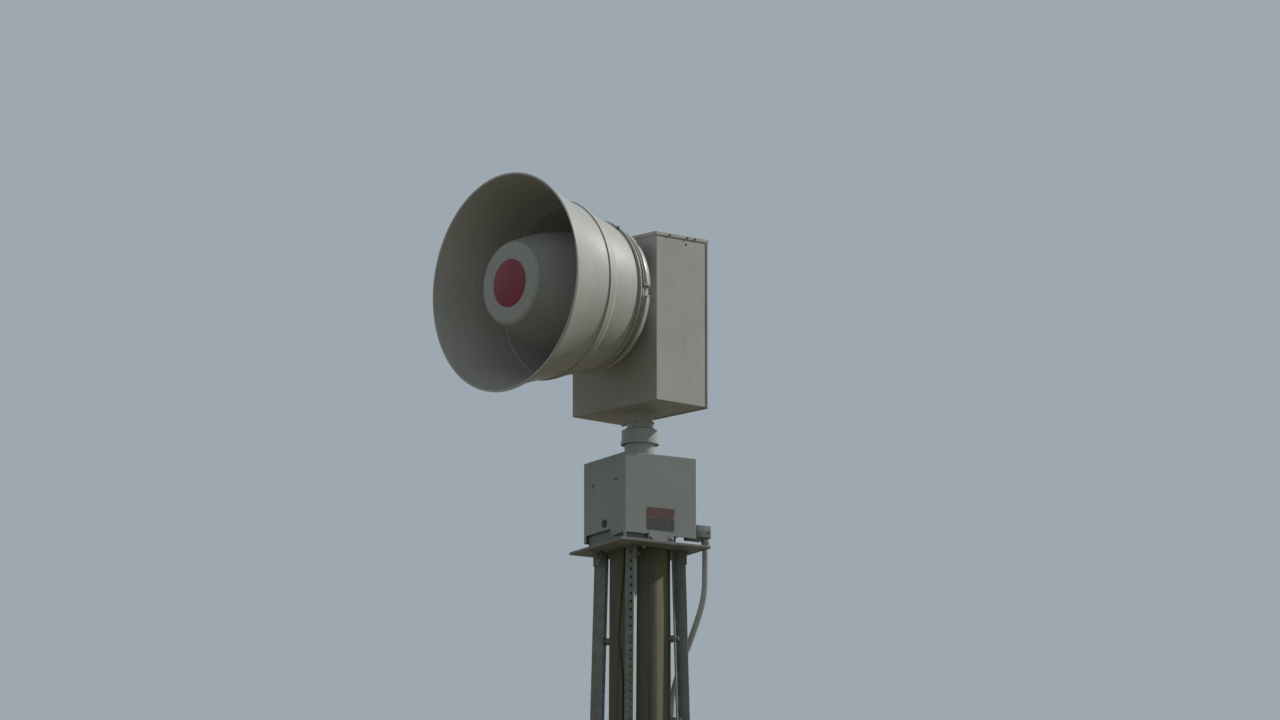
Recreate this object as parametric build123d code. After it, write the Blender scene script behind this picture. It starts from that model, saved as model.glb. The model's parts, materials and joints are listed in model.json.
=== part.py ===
from build123d import *
import math
import os

# Civil defense siren tower: a wooden pole with a leg-braced plate on top, a rotator
# and one horn on a turning head. Millimetres, +Z up, origin at the centre of the
# pole's base on the ground line. The head is drawn with its horn along -X and is then
# turned by head_heading, the way it points at rest.

# Pole
pole_height = 11800.0
pole_top_radius = 105.0
pole_taper = 0.0055  # radius gained for each millimetre down

# Mounting plate
plate_side = 356.0
plate_thick = 10.0

# Legs: four perforated angles at the plate's diagonals
leg_count = 4
leg_width = 40.0
leg_thick = 5.0
leg_length = 914.0
leg_lean = 1.6  # degrees away from the pole, going down
leg_stand_off = 11.0  # from the pole's top edge to the leg
leg_top_gap = 1.5
leg_hole_radius = 4.75
leg_hole_pitch = 28.6
leg_end_margin = 12.0  # no hole centre lies nearer to a leg's end

# Lag bolts and their tube spacers
lag_first = 309.0
lag_hole_step = 10  # leg holes from one lag bolt to the next
lag_count = 3
lag_radius = 6.0
lag_depth = 90.0
lag_head_radius = 10.0
lag_head_height = 8.0
lag_washer_radius = 14.0
lag_washer_thick = 2.0
spacer_radius = 12.0
spot_face_depth = 2.0

# Clips that tie the legs to the plate
clip_width = 48.0
clip_thick = 5.0
clip_inset = 8.0
clip_length = 36.0

# Rotator
base_height = 26.0
base_side = 180.0
foot_width = 100.0
foot_tab_thick = 3.0
foot_tab_lap = 9.0
cover_side = 283.0
cover_height = 281.0
cover_wall = 3.0
cover_notch_height = 25.0
cover_notch_length = 163.0
cover_notch_slant = 12.0
cover_leg_width = 15.0
hole_plug_radius = 14.0
hole_plug_thick = 3.0
hole_plug_rise = 50.0
gearbox_side = 180.0
gearbox_height = 240.0

# Bearing tube, shaft, neck and weather skirt
tube_radius = 53.8
tube_rise = 98.0  # above the cover's top
shaft_radius = 30.0
shaft_reach = 70.0  # into the gearbox
neck_radius = 45.0
neck_cap = 12.0
neck_ring_radius = 50.0
neck_ring_thick = 3.0
neck_ring_gap = 20.5
neck_flange_radius = 53.0
neck_flange_thick = 6.5
skirt_radius = 63.5
skirt_wall = 3.0
skirt_rim_radius = 66.4
skirt_rim_height = 12.0
skirt_height = 49.0
skirt_shoulder = 5.0
skirt_lap = 41.0  # how far the skirt hangs over the bearing tube
head_underside = 170.5  # above the cover's top

# Head housing
head_heading = 10.9  # degrees about +Z
housing_width = 445.0
housing_depth = 235.0
housing_height = 591.0
sheet = 3.0
top_lip = 10.0
back_lip = 5.0

# Horn, measured from the mouth plane backwards along its axis
mouth_to_axis = 617.0
horn_above_underside = 378.0
horn_wall = 4.0
mouth_radius = 377.5
front_mid_radius = 338.0
seam_radius = 310.0
rear_radius = 255.5
seam_at = 208.0
lap_length = 30.0
lap_blend = 12.0
rear_at = 391.0
rear_bulge = 2.0
mouth_lip = 2.5
mouth_lip_length = 6.0

# Flange at the horn's rear end, back pan and clamp halves
flange_radius = 267.0
flange_thick = 4.0
pan_front_radius = 256.0
pan_back_radius = 233.0
pan_depth = 59.0
pan_wall = 3.0
clamp_set_back = 17.0  # from the horn's rear end
clamp_thick = 3.0
clamp_rise = 6.0
clamp_bead_radius = 6.0
clamp_gap = 8.0  # degrees between the two halves
clamp_gap_drop = 2.5  # degrees below the horn's axis

# Inner cone inside the horn
nose_at = 21.0
nose_flat_radius = 127.0
nose_edge = 17.0
nose_radius = 149.0
cone_wall = 4.0
cone_mid_at = 200.0
cone_mid_radius = 199.5
cone_rear_radius = 225.0
cone_front_bulge = 7.0
cone_rear_bulge = 1.0

# Stator, chopper, throat housing and motor
stator_radius = 195.0
stator_wall = 7.0
port_count = 16
port_width = 34.0
port_length = 34.0
chopper_wall = 5.0
chopper_disc = 6.0
throat_radius = 180.0
throat_wall = 8.0
throat_flange_radius = 192.0
throat_flange_thick = 6.0
motor_radius = 105.0
motor_flange_thick = 10.0
motor_length = 170.0
motor_shaft_radius = 19.0

# Junction box and conduit
box_depth = 62.0
box_width = 84.0
box_height = 45.0
box_rise = 7.0  # above the cover's bottom edge
box_front_inset = 4.0  # from the cover's front corner
conduit_diameter = 22.0
conduit_inset = 12.5  # from the junction box's outer face
conduit_front_inset = 19.0
fitting_radius = 15.0
fitting_length = 20.0
pipe_radius = 13.0
pipe_top_drop = 660.0  # below the mounting plate
coupling_radius = 17.0
coupling_length = 44.0
strap_thick = 2.5
strap_width = 25.0
strap_ear = 18.0
strap_count = 7

# Clearances
fit_gap = 0.3
running_gap = 0.3

# Heights that follow
plate_bottom = pole_height
plate_top = plate_bottom + plate_thick
cover_bottom = plate_top + base_height
cover_top = cover_bottom + cover_height
tube_top = cover_top + tube_rise
underside = cover_top + head_underside
housing_top = underside + housing_height
horn_axis_z = underside + horn_above_underside


def pole_radius_at(z):
    """Radius of the tapered pole at height z."""
    return pole_top_radius + pole_taper * (pole_height - z)


def upright(points):
    """A solid turned about the tower's axis from (radius, height) corners."""
    return revolve(Plane.XZ * make_face(Polyline(points, close=True)), axis=Axis.Z)


horn_plane = Plane(origin=(-mouth_to_axis, 0, horn_axis_z), x_dir=(1, 0, 0), z_dir=(0, -1, 0))
horn_axis = Axis(origin=(-mouth_to_axis, 0, horn_axis_z), direction=(1, 0, 0))


def on_horn(face, arc=360.0, start=0.0):
    """A solid turned about the horn's axis from a face of (distance behind mouth, radius)."""
    placed = horn_plane * face
    return revolve(placed.rotate(horn_axis, start), axis=horn_axis, revolution_arc=arc)


def horn_ring(points):
    """A full ring about the horn's axis from corner points."""
    return on_horn(make_face(Polyline(points, close=True)))


def bent_shell(start, middle, end, wall):
    """Section of a shell whose outside is an arc through three points."""
    outside = ThreePointArc(start, middle, end)
    inside = ThreePointArc(
        (end[0], end[1] - wall), (middle[0], middle[1] - wall), (start[0], start[1] - wall)
    )
    back = Line(end, (end[0], end[1] - wall))
    front = Line((start[0], start[1] - wall), start)
    return make_face([outside, back, inside, front])


# Pole: one tapered log, with pockets for the lag bolts
leg_inner = pole_top_radius + leg_stand_off
lean_axis = Axis(origin=(leg_inner, 0, plate_bottom), direction=(0, 1, 0))
lag_pitch = lag_hole_step * leg_hole_pitch
lag_stations = [lag_first + i * lag_pitch for i in range(lag_count)]
leg_angles = [45.0 + i * 360.0 / leg_count for i in range(leg_count)]


def lean_out(shape):
    """Tilt a piece drawn upright at the +X side so that it follows the leg."""
    return shape.rotate(lean_axis, -leg_lean)


def around_pole(shape, angle):
    """Carry a piece drawn at the +X side round the pole."""
    return shape.rotate(Axis.Z, angle)


def cross_rod(x_low, x_high, radius, drop):
    """A rod square to the leg's flange, at a distance below the plate."""
    length = x_high - x_low
    plane = Plane(origin=(x_low, 0, plate_bottom - drop), z_dir=(1, 0, 0))
    return plane * Cylinder(radius, length, align=(Align.CENTER, Align.CENTER, Align.MIN))


def spacer_seat(drop):
    """Where the spacer's inner end sits, measured like leg_inner."""
    leg_face = leg_inner + drop * math.sin(math.radians(leg_lean))
    gap = leg_face - pole_radius_at(plate_bottom - drop)
    return leg_inner - gap - spot_face_depth


pole = Cone(
    pole_radius_at(0), pole_top_radius, pole_height, align=(Align.CENTER, Align.CENTER, Align.MIN)
)
for angle in leg_angles:
    for drop in lag_stations:
        seat = spacer_seat(drop)
        pilot = cross_rod(leg_inner - lag_depth, leg_inner, lag_radius + fit_gap, drop)
        spot = cross_rod(seat, leg_inner + spacer_radius, spacer_radius + fit_gap, drop)
        pole -= around_pole(lean_out(pilot + spot), angle)

# Mounting plate
plate = Pos(0, 0, plate_bottom) * Box(
    plate_side, plate_side, plate_thick, align=(Align.CENTER, Align.CENTER, Align.MIN)
)

# Legs
half_leg = leg_width / 2
leg_outer_face = leg_inner + leg_thick
leg_top = plate_bottom - leg_top_gap
leg_section = make_face(
    Polyline(
        (leg_inner, -half_leg),
        (leg_inner, half_leg),
        (leg_inner + leg_width, half_leg),
        (leg_inner + leg_width, half_leg - leg_thick),
        (leg_inner + leg_thick, half_leg - leg_thick),
        (leg_inner + leg_thick, -half_leg),
        close=True,
    )
)
upright_leg = extrude(Pos(0, 0, leg_top) * leg_section, -leg_length)


def leg_hole(radius, drop):
    """Cutter for a hole in the flange that faces the pole."""
    return cross_rod(leg_inner - leg_thick, leg_outer_face + leg_thick, radius, drop)


# A row of small holes at one pitch, with the lag bolts' larger holes in the same row
holes_above_lag = math.floor((lag_first - leg_top_gap - leg_end_margin) / leg_hole_pitch)
first_hole = lag_first - holes_above_lag * leg_hole_pitch
last_hole = leg_top_gap + leg_length - leg_end_margin
hole_count = math.floor((last_hole - first_hole) / leg_hole_pitch) + 1
leg_holes = [leg_hole(lag_radius + fit_gap, drop) for drop in lag_stations]
for i in range(hole_count):
    drop = first_hole + i * leg_hole_pitch
    if all(abs(drop - station) > leg_hole_pitch / 2 for station in lag_stations):
        leg_holes.append(leg_hole(leg_hole_radius, drop))
upright_leg -= leg_holes
leg = lean_out(upright_leg)


# Lag bolts and spacers, one set for each leg
def lag_bolt(drop):
    """Hex-headed lag screw with its washer."""
    shank = cross_rod(leg_inner - lag_depth, leg_outer_face, lag_radius, drop)
    washer = cross_rod(
        leg_outer_face, leg_outer_face + lag_washer_thick, lag_washer_radius, drop
    )
    head_plane = Plane(
        origin=(leg_outer_face + lag_washer_thick, 0, plate_bottom - drop), z_dir=(1, 0, 0)
    )
    head = extrude(head_plane * RegularPolygon(lag_head_radius, 6), lag_head_height)
    return shank + washer + head


def lag_spacer(drop):
    """Tube between the pole's spot face and the leg."""
    seat = spacer_seat(drop)
    tube = cross_rod(seat, leg_inner, spacer_radius, drop)
    bore = cross_rod(seat - leg_thick, leg_inner + leg_thick, lag_radius + fit_gap, drop)
    return tube - bore


lag_bolts = []
lag_spacers = []
for angle in leg_angles:
    for drop in lag_stations:
        lag_bolts.append(around_pole(lean_out(lag_bolt(drop)), angle))
        lag_spacers.append(around_pole(lean_out(lag_spacer(drop)), angle))

# Clips between the plate and the legs' standing flanges
clip_leaf = Pos(leg_inner + clip_inset, half_leg, plate_bottom) * Box(
    clip_length, clip_thick, clip_width, align=(Align.MIN, Align.MIN, Align.MAX)
)
clip_shelf = Pos(leg_inner + clip_inset, half_leg, plate_bottom) * Box(
    clip_length, clip_width, clip_thick, align=(Align.MIN, Align.MIN, Align.MAX)
)
clip = clip_leaf + clip_shelf
clips = [around_pole(clip, angle) for angle in leg_angles]

# Rotator base: a block with two feet that hold the cover's lower edges
base_block = Pos(0, 0, plate_top) * Box(
    base_side, base_side, base_height, align=(Align.CENTER, Align.CENTER, Align.MIN)
)
foot_reach = cover_side / 2 + foot_tab_thick
base_feet = Pos(0, 0, plate_top) * Box(
    foot_width, 2 * foot_reach, base_height, align=(Align.CENTER, Align.CENTER, Align.MIN)
)
rotator_base = base_block + base_feet
for side in (-1, 1):
    tab_y = side * (cover_side / 2 + foot_tab_thick / 2)
    rotator_base += Pos(0, tab_y, plate_top) * Box(
        foot_width,
        foot_tab_thick,
        base_height + foot_tab_lap,
        align=(Align.CENTER, Align.CENTER, Align.MIN),
    )

# Rotator gearbox, inside the cover
gearbox = Pos(0, 0, cover_bottom) * Box(
    gearbox_side, gearbox_side, gearbox_height, align=(Align.CENTER, Align.CENTER, Align.MIN)
)
gearbox_top = cover_bottom + gearbox_height
shaft_bottom = gearbox_top - shaft_reach
gearbox -= Pos(0, 0, shaft_bottom - running_gap) * Cylinder(
    shaft_radius + running_gap, 2 * shaft_reach, align=(Align.CENTER, Align.CENTER, Align.MIN)
)

# Rotator cover: a sheet box, open below, made as two like halves. Each half's end wall
# is notched along its bottom edge and has a narrow leg at one corner.
cover_inside = cover_side - 2 * cover_wall
cover = Pos(0, 0, cover_bottom) * Box(
    cover_side, cover_side, cover_height, align=(Align.CENTER, Align.CENTER, Align.MIN)
)
cover -= Pos(0, 0, cover_bottom) * Box(
    cover_inside,
    cover_inside,
    cover_height - cover_wall,
    align=(Align.CENTER, Align.CENTER, Align.MIN),
)
cover -= Pos(0, 0, cover_top) * Cylinder(tube_radius + fit_gap, 4 * cover_wall)
notch_end = cover_side / 2 - cover_leg_width
notch_start = notch_end - cover_notch_length
notch_plane = Plane(origin=(cover_side / 2, 0, cover_bottom), x_dir=(0, -1, 0), z_dir=(-1, 0, 0))
notch_face = make_face(
    Polyline(
        (notch_start - cover_notch_slant, 0),
        (notch_start, cover_notch_height),
        (notch_end, cover_notch_height),
        (notch_end, 0),
        close=True,
    )
)
notch = extrude(notch_plane * notch_face, 2 * cover_wall, both=True)
cover_leg = Pos(cover_side / 2, cover_side / 2, plate_top) * Box(
    cover_wall, cover_leg_width, base_height, align=(Align.MAX, Align.MAX, Align.MIN)
)
for turn in (0, 180):
    cover -= notch.rotate(Axis.Z, turn)
    cover += cover_leg.rotate(Axis.Z, turn)

# Plug in the spare hole of the cover's left face
hole_plug_plane = Plane(
    origin=(-cover_side / 2, 0, cover_bottom + hole_plug_rise), z_dir=(-1, 0, 0)
)
hole_plug = hole_plug_plane * Cylinder(
    hole_plug_radius, hole_plug_thick, align=(Align.CENTER, Align.CENTER, Align.MIN)
)

# Bearing tube that stands on the gearbox and carries the head
tube_bore = shaft_radius + running_gap
bearing_tube = upright(
    [
        (tube_bore, gearbox_top),
        (tube_radius, gearbox_top),
        (tube_radius, tube_top),
        (tube_bore, tube_top),
    ]
)

# Drive shaft
neck_top = underside
shaft_top = neck_top - neck_cap
drive_shaft = Pos(0, 0, shaft_bottom) * Cylinder(
    shaft_radius, shaft_top - shaft_bottom, align=(Align.CENTER, Align.CENTER, Align.MIN)
)

# Neck: a cup over the shaft with two thin rings and a flange under the housing
skirt_bottom = tube_top - skirt_lap
skirt_top = skirt_bottom + skirt_height + skirt_shoulder
neck_bottom = tube_top + running_gap
low_ring = skirt_top
high_ring = low_ring + neck_ring_gap
neck_bore = shaft_radius + fit_gap
neck = upright(
    [
        (neck_bore, neck_bottom),
        (neck_radius, neck_bottom),
        (neck_radius, low_ring),
        (neck_ring_radius, low_ring),
        (neck_ring_radius, low_ring + neck_ring_thick),
        (neck_radius, low_ring + neck_ring_thick),
        (neck_radius, high_ring),
        (neck_ring_radius, high_ring),
        (neck_ring_radius, high_ring + neck_ring_thick),
        (neck_radius, high_ring + neck_ring_thick),
        (neck_radius, neck_top - neck_flange_thick),
        (neck_flange_radius, neck_top - neck_flange_thick),
        (neck_flange_radius, neck_top),
        (0, neck_top),
        (0, shaft_top),
        (neck_bore, shaft_top),
    ]
)

# Weather skirt that hangs from the neck over the bearing tube
skirt_inside = skirt_radius - skirt_wall
skirt_hub = neck_radius + fit_gap
skirt_side_top = skirt_bottom + skirt_height
weather_skirt = upright(
    [
        (skirt_inside, skirt_bottom),
        (skirt_rim_radius, skirt_bottom),
        (skirt_rim_radius, skirt_bottom + skirt_rim_height),
        (skirt_radius, skirt_bottom + skirt_rim_height),
        (skirt_radius, skirt_side_top),
        (neck_ring_radius, skirt_top),
        (skirt_hub, skirt_top),
        (skirt_hub, skirt_side_top - skirt_wall),
        (skirt_inside, skirt_side_top - skirt_wall),
    ]
)

# Housing body: front wall, two sides and bottom, open at the top and back
body_width = housing_width - 2 * sheet
body_back = housing_depth / 2 - sheet
body_front = -housing_depth / 2
body_top = housing_top - sheet
body_length = body_back - body_front
housing_body = Pos(body_front, 0, underside) * Box(
    body_length, body_width, body_top - underside, align=(Align.MIN, Align.CENTER, Align.MIN)
)
housing_body -= Pos(body_front + sheet, 0, underside + sheet) * Box(
    body_length, body_width - 2 * sheet, housing_height, align=(Align.MIN, Align.CENTER, Align.MIN)
)

# Top cover: a pan whose lip hangs over the walls
top_cover = Pos(0, 0, housing_top - sheet - top_lip) * Box(
    housing_depth + 2 * sheet,
    housing_width,
    sheet + top_lip,
    align=(Align.CENTER, Align.CENTER, Align.MIN),
)
top_cover -= Pos(0, 0, housing_top - sheet - 2 * top_lip) * Box(
    housing_depth, housing_width - 2 * sheet, 2 * top_lip, align=(Align.CENTER, Align.CENTER, Align.MIN)
)

# Back cover: a pan whose lips run forward along the sides and under the bottom
back_top = housing_top - sheet - top_lip - fit_gap
back_x = housing_depth / 2
back_cover = Pos(back_x, 0, underside - sheet) * Box(
    sheet + back_lip,
    housing_width,
    back_top - underside + sheet,
    align=(Align.MAX, Align.CENTER, Align.MIN),
)
back_cover -= Pos(back_x - sheet, 0, underside) * Box(
    2 * back_lip, body_width, housing_height, align=(Align.MAX, Align.CENTER, Align.MIN)
)

# Horn, front shell: from the mouth lip to its tail inside the lap
tail_at = seam_at + lap_length
seam_slope = (rear_radius - seam_radius) / (rear_at - seam_at)


def wall_radius(at):
    """Outside radius of the plain wall behind the seam."""
    return seam_radius + seam_slope * (at - seam_at)


horn_front = on_horn(
    bent_shell(
        (0, mouth_radius), (seam_at / 2, front_mid_radius), (seam_at, seam_radius), horn_wall
    )
)
horn_front += horn_ring(
    [
        (seam_at, seam_radius - horn_wall),
        (seam_at, seam_radius),
        (tail_at, wall_radius(tail_at)),
        (tail_at, wall_radius(tail_at) - horn_wall),
    ]
)
horn_front += horn_ring(
    [
        (0, mouth_radius - horn_wall),
        (0, mouth_radius + mouth_lip),
        (mouth_lip_length, mouth_radius + mouth_lip),
        (mouth_lip_length, mouth_radius - horn_wall),
    ]
)

# Horn, rear shell: its front end is widened to lap over the front shell's tail
lap_step = horn_wall + fit_gap
blend_at = tail_at + lap_blend
shell_mid = (blend_at + rear_at) / 2
horn_rear = horn_ring(
    [
        (seam_at, seam_radius + fit_gap),
        (seam_at, seam_radius + lap_step),
        (tail_at, wall_radius(tail_at) + lap_step),
        (blend_at, wall_radius(blend_at)),
        (blend_at, wall_radius(blend_at) - horn_wall),
        (tail_at + fit_gap, wall_radius(tail_at) - fit_gap),
        (tail_at, wall_radius(tail_at) + fit_gap),
    ]
)
horn_rear += on_horn(
    bent_shell(
        (blend_at, wall_radius(blend_at)),
        (shell_mid, wall_radius(shell_mid) + rear_bulge),
        (rear_at, rear_radius),
        horn_wall,
    )
)
horn_rear += horn_ring(
    [
        (rear_at - flange_thick, rear_radius - horn_wall),
        (rear_at - flange_thick, flange_radius),
        (rear_at, flange_radius),
        (rear_at, rear_radius - horn_wall),
    ]
)

# Back pan: a shallow tapered drum that closes the horn behind the inner cone
pan_back = rear_at + pan_depth
pan_hole = stator_radius - 2 * stator_wall
pan_slope = (pan_back_radius - pan_front_radius) / pan_depth


def pan_outside(at):
    """Outside radius of the back pan."""
    return pan_front_radius + pan_slope * (at - rear_at)


back_pan = horn_ring(
    [
        (rear_at, pan_front_radius - pan_wall),
        (rear_at, pan_front_radius),
        (pan_back, pan_back_radius),
        (pan_back, pan_hole),
        (pan_back - pan_wall, pan_hole),
        (pan_back - pan_wall, pan_outside(pan_back - pan_wall) - pan_wall),
    ]
)

# Clamp halves: a tapered web with a flange in front and a rolled bead behind, closed
# by a plate at each end
clamp_front = rear_at + clamp_set_back
bead_at = pan_back - clamp_bead_radius
bead_stand = (clamp_bead_radius + fit_gap) / math.cos(math.atan(pan_slope))
bead_height = pan_outside(bead_at) + bead_stand
clamp_bead = Pos(bead_at, bead_height) * Circle(clamp_bead_radius)


def clamp_web(at):
    """Inside radius of the clamp's web."""
    return pan_outside(at) + fit_gap


flange_back = clamp_front + clamp_thick
flange_top = clamp_web(clamp_front) + clamp_thick + clamp_rise
clamp_face = clamp_bead + make_face(
    Polyline(
        (clamp_front, clamp_web(clamp_front)),
        (clamp_front, flange_top),
        (flange_back, flange_top),
        (flange_back, clamp_web(flange_back) + clamp_thick),
        (bead_at, clamp_web(bead_at) + clamp_thick),
        (bead_at, clamp_web(bead_at)),
        close=True,
    )
)
end_face = clamp_bead + make_face(
    Polyline(
        (clamp_front, clamp_web(clamp_front)),
        (clamp_front, flange_top),
        (flange_back, flange_top),
        (bead_at, bead_height + clamp_bead_radius),
        (bead_at, clamp_web(bead_at)),
        close=True,
    )
)
end_plate_arc = math.degrees(clamp_thick / clamp_web(clamp_front))


def clamp_half(start, arc):
    """Half of the band, from one end angle on, closed by a plate at each end."""
    band = on_horn(clamp_face, arc, start)
    band += on_horn(end_face, end_plate_arc, start)
    band += on_horn(end_face, end_plate_arc, start + arc - end_plate_arc)
    return band


# Angles run about the horn's axis from straight up. The gaps lie on the two sides.
side_low = 90.0 + clamp_gap_drop
upper_arc = 2 * side_low - clamp_gap
lower_arc = 360.0 - 2 * side_low - clamp_gap
clamp_upper = clamp_half(-side_low + clamp_gap / 2, upper_arc)
clamp_lower = clamp_half(side_low + clamp_gap / 2, lower_arc)

# Inner cone: a hollow bullet with a flat nose, flanged inwards at the back
cone_start = nose_at + nose_edge
front_middle_at = (cone_start + cone_mid_at) / 2
front_middle_radius = (nose_radius + cone_mid_radius) / 2 + cone_front_bulge
rear_middle_at = (cone_mid_at + rear_at) / 2
rear_middle_radius = (cone_mid_radius + cone_rear_radius) / 2 + cone_rear_bulge
inner_cone = on_horn(
    bent_shell(
        (cone_start, nose_radius),
        (front_middle_at, front_middle_radius),
        (cone_mid_at, cone_mid_radius),
        cone_wall,
    )
)
inner_cone += on_horn(
    bent_shell(
        (cone_mid_at, cone_mid_radius),
        (rear_middle_at, rear_middle_radius),
        (rear_at, cone_rear_radius),
        cone_wall,
    )
)
cone_flange_radius = stator_radius - 2 * stator_wall
inner_cone += horn_ring(
    [
        (rear_at - cone_wall, cone_flange_radius),
        (rear_at - cone_wall, cone_rear_radius - cone_wall),
        (rear_at, cone_rear_radius - cone_wall),
        (rear_at, cone_flange_radius),
    ]
)

# Nose: the cone's flat front with a rounded edge
half_way_round = math.sin(math.radians(45))
nose_curve = ThreePointArc(
    (nose_at, nose_flat_radius),
    (
        cone_start - half_way_round * nose_edge,
        nose_flat_radius + half_way_round * (nose_radius - nose_flat_radius),
    ),
    (cone_start, nose_radius),
)
nose_back = Polyline(
    (cone_start, nose_radius),
    (cone_start, nose_radius - cone_wall),
    (nose_at + cone_wall, nose_flat_radius - cone_wall),
    (nose_at + cone_wall, 0),
    (nose_at, 0),
    (nose_at, nose_flat_radius),
)
nose = on_horn(make_face([nose_curve, nose_back]))

# Stator: the ported ring between the cone and the back pan
stator_back = pan_back - pan_wall
stator = horn_ring(
    [
        (rear_at, stator_radius - stator_wall),
        (rear_at, stator_radius),
        (stator_back, stator_radius),
        (stator_back, stator_radius - stator_wall),
    ]
)
port_at = (rear_at + stator_back) / 2
port_centre = Pos(port_at - mouth_to_axis, 0, horn_axis_z + stator_radius)
port_depth = 3 * (stator_wall + chopper_wall)
port_cutter = port_centre * Box(port_length, port_width, port_depth)
for i in range(port_count):
    stator -= port_cutter.rotate(horn_axis, i * 360.0 / port_count)

# Chopper: the ported cup that spins inside the stator
chopper_radius = stator_radius - stator_wall - 2 * running_gap
chopper = horn_ring(
    [
        (rear_at + running_gap, chopper_radius - chopper_wall),
        (rear_at + running_gap, chopper_radius),
        (stator_back, chopper_radius),
        (stator_back, motor_shaft_radius + fit_gap),
        (stator_back - chopper_disc, motor_shaft_radius + fit_gap),
        (stator_back - chopper_disc, chopper_radius - chopper_wall),
    ]
)
for i in range(port_count):
    chopper -= port_cutter.rotate(horn_axis, (i + 0.5) * 360.0 / port_count)

# Throat housing: the drum between the back pan and the head's front wall
wall_at = mouth_to_axis - housing_depth / 2
throat_housing = horn_ring(
    [
        (pan_back, throat_radius - throat_wall),
        (pan_back, throat_radius),
        (wall_at - throat_flange_thick, throat_radius),
        (wall_at - throat_flange_thick, throat_flange_radius),
        (wall_at, throat_flange_radius),
        (wall_at, throat_radius - throat_wall),
    ]
)

# Motor: bolted to the inside of the front wall, with its shaft through to the chopper
motor_front = wall_at + sheet
motor_body_end = motor_front + motor_flange_thick + motor_length
siren_motor = horn_ring(
    [
        (rear_at + chopper_disc, 0),
        (rear_at + chopper_disc, motor_shaft_radius),
        (motor_front, motor_shaft_radius),
        (motor_front, throat_radius - throat_wall),
        (motor_front + motor_flange_thick, throat_radius - throat_wall),
        (motor_front + motor_flange_thick, motor_radius),
        (motor_body_end, motor_radius),
        (motor_body_end, 0),
    ]
)
housing_body -= horn_ring(
    [
        (wall_at - sheet, 0),
        (wall_at - sheet, motor_shaft_radius + 2 * fit_gap),
        (wall_at + 2 * sheet, motor_shaft_radius + 2 * fit_gap),
        (wall_at + 2 * sheet, 0),
    ]
)

# Junction box on the right face of the rotator's cover
box_y = -cover_side / 2 + box_front_inset
box_bottom = cover_bottom + box_rise
junction_box = Pos(cover_side / 2, box_y, box_bottom) * Box(
    box_depth, box_width, box_height, align=(Align.MIN, Align.MIN, Align.MIN)
)

# Flexible conduit: out of the fitting, down past the plate and in to the pole
conduit_x = cover_side / 2 + box_depth - conduit_inset
conduit_y = box_y + conduit_front_inset
conduit_top = box_bottom - fitting_length
pipe_top = plate_bottom - pipe_top_drop
pipe_stand = coupling_radius + fit_gap
pipe_x = pole_radius_at(pipe_top) + pipe_stand
conduit_end = pipe_top + coupling_length
conduit_route = [
    (conduit_x, conduit_y, conduit_top),
    (conduit_x, conduit_y, 11734.0),
    (conduit_x - 1.0, conduit_y + 2.5, 11646.0),
    (176.0, -89.0, 11556.0),
    (148.0, -34.0, 11420.0),
    (130.0, -3.0, 11325.0),
    (pipe_x, 0.0, 11245.0),
    (pipe_x, 0.0, conduit_end),
]


def route_radii(route):
    """Bend radius at each inner point: 0.45 of the shorter run over the tangent of half the turn."""
    radii = []
    for before, here, after in zip(route, route[1:], route[2:]):
        run_in = Vector(*here) - Vector(*before)
        run_out = Vector(*after) - Vector(*here)
        half_turn = math.radians(run_in.get_angle(run_out)) / 2
        radii.append(0.45 * min(run_in.length, run_out.length) / math.tan(half_turn))
    return radii


conduit_radii = route_radii(conduit_route)
conduit_path = FilletPolyline(*conduit_route, radius=conduit_radii)
conduit_start = Plane(origin=conduit_route[0], z_dir=(0, 0, -1))
flexible_conduit = sweep(conduit_start * Circle(conduit_diameter / 2), path=conduit_path)
conduit_section = math.pi * (conduit_diameter / 2) ** 2
print("conduit radii", [round(r) for r in conduit_radii])
print("conduit length", round(conduit_path.length, 1))
print("volume over section x length", flexible_conduit.volume / (conduit_section * conduit_path.length))

# Fitting under the junction box
conduit_fitting = Pos(conduit_x, conduit_y, conduit_top) * Cylinder(
    fitting_radius, fitting_length, align=(Align.CENTER, Align.CENTER, Align.MIN)
)

# Coupling and rigid conduit down the pole's right side
conduit_coupling = Pos(pipe_x, 0, pipe_top) * Cylinder(
    coupling_radius, coupling_length, align=(Align.CENTER, Align.CENTER, Align.MIN)
)
pipe_lean = math.degrees(math.atan(pole_taper))
pipe_foot_x = pole_radius_at(0) + pipe_stand
pipe_run = Line((pipe_foot_x, 0, 0), (pipe_x, 0, pipe_top))
pole_conduit = sweep(Plane(origin=(pipe_foot_x, 0, 0)) * Circle(pipe_radius), path=pipe_run)

# Straps that hold the rigid conduit to the pole
strap_step = pipe_top / strap_count
strap_outer = pipe_radius + fit_gap + strap_thick


def strap(z):
    """A saddle over the conduit with an ear on each side."""
    pipe_centre = pole_radius_at(z) + pipe_stand
    saddle = Pos(pipe_centre, 0, z) * Cylinder(strap_outer, strap_width)
    ears = Pos(pipe_centre - pipe_stand, 0, z) * Box(
        strap_thick,
        2 * (strap_outer + strap_ear),
        strap_width,
        align=(Align.MIN, Align.CENTER, Align.CENTER),
    )
    block = Pos(pipe_centre - pipe_stand, 0, z) * Box(
        pipe_stand, 2 * strap_outer, strap_width, align=(Align.MIN, Align.CENTER, Align.CENTER)
    )
    hollow = Pos(pipe_centre, 0, z) * Cylinder(pipe_radius + fit_gap, 2 * strap_width)
    slot = Pos(pipe_centre, 0, z) * Box(
        2 * strap_outer,
        2 * (pipe_radius + fit_gap),
        2 * strap_width,
        align=(Align.MAX, Align.CENTER, Align.CENTER),
    )
    return saddle + ears + block - hollow - slot


conduit_straps = [strap((i + 0.5) * strap_step) for i in range(strap_count)]

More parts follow.
